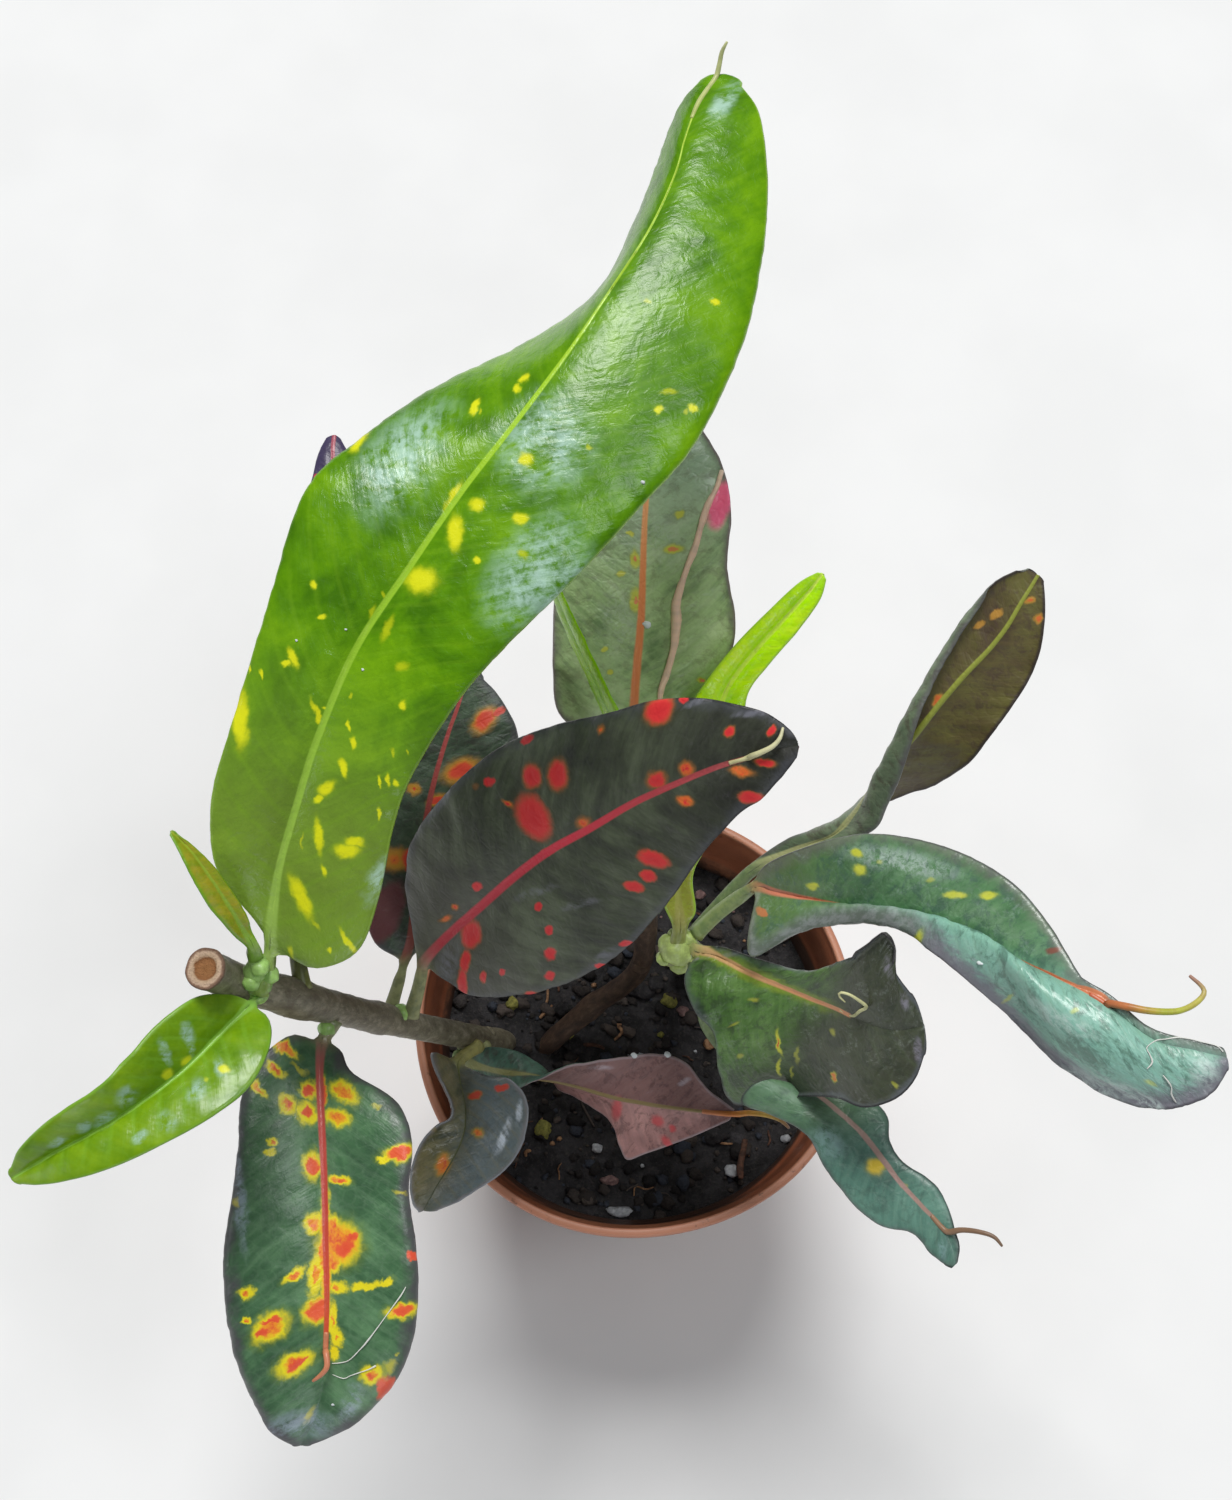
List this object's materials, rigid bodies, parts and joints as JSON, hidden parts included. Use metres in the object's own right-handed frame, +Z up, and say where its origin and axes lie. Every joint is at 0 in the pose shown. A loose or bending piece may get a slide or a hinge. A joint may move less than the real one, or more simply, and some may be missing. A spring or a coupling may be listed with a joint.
{
  "type": "potted croton plant",
  "caption": "Young croton with narrow twisted leaves, some bright green and some dark with red and yellow spots, in a small round plastic nursery pot.",
  "frame": {"origin": "centre of the flat underside of the pot, on the surface it stands on", "axes": "+Z up along the pot axis; +X to the right and +Y away in the view where the main stem leans left and the big green leaf points away"},
  "size_m": [0.1186, 0.1324, 0.1557],
  "materials": {
    "pot_plastic": "satin",
    "potting_mix": "matte",
    "woody_stem": "matte",
    "green_stem": "satin",
    "brown_stem": "matte",
    "leaf_bright_green": "gloss",
    "leaf_olive": "gloss",
    "leaf_dark_green_spotted": "gloss",
    "leaf_purple_black": "gloss",
    "leaf_grey_green": "satin",
    "leaf_near_black": "gloss",
    "leaf_maroon_underside": "satin",
    "leaf_mid_green": "gloss",
    "leaf_brown_underside": "satin",
    "leaf_teal": "satin",
    "leaf_lime": "gloss"
  },
  "bodies": {
    "root": {"pot": "pot_plastic", "soil": "potting_mix", "main_stem": "woody_stem", "right_stem": "green_stem", "back_stem": "brown_stem", "big_green_leaf": "leaf_bright_green", "small_olive_leaf": "leaf_olive", "medium_green_leaf": "leaf_bright_green", "red_spotted_front_leaf": "leaf_dark_green_spotted", "hidden_purple_leaf": "leaf_purple_black", "spotted_back_left_leaf": "leaf_dark_green_spotted", "small_cupped_leaf": "leaf_grey_green", "dark_red_veined_leaf": "leaf_near_black", "maroon_twisted_leaf": "leaf_maroon_underside", "long_twisted_leaf": "leaf_mid_green", "curled_green_leaf": "leaf_mid_green", "brown_backed_leaf": "leaf_brown_underside", "teal_lower_leaf": "leaf_teal", "grey_green_back_leaf": "leaf_grey_green", "lime_narrow_leaf": "leaf_lime", "thin_lime_leaf": "leaf_lime"}
  },
  "joints": []
}
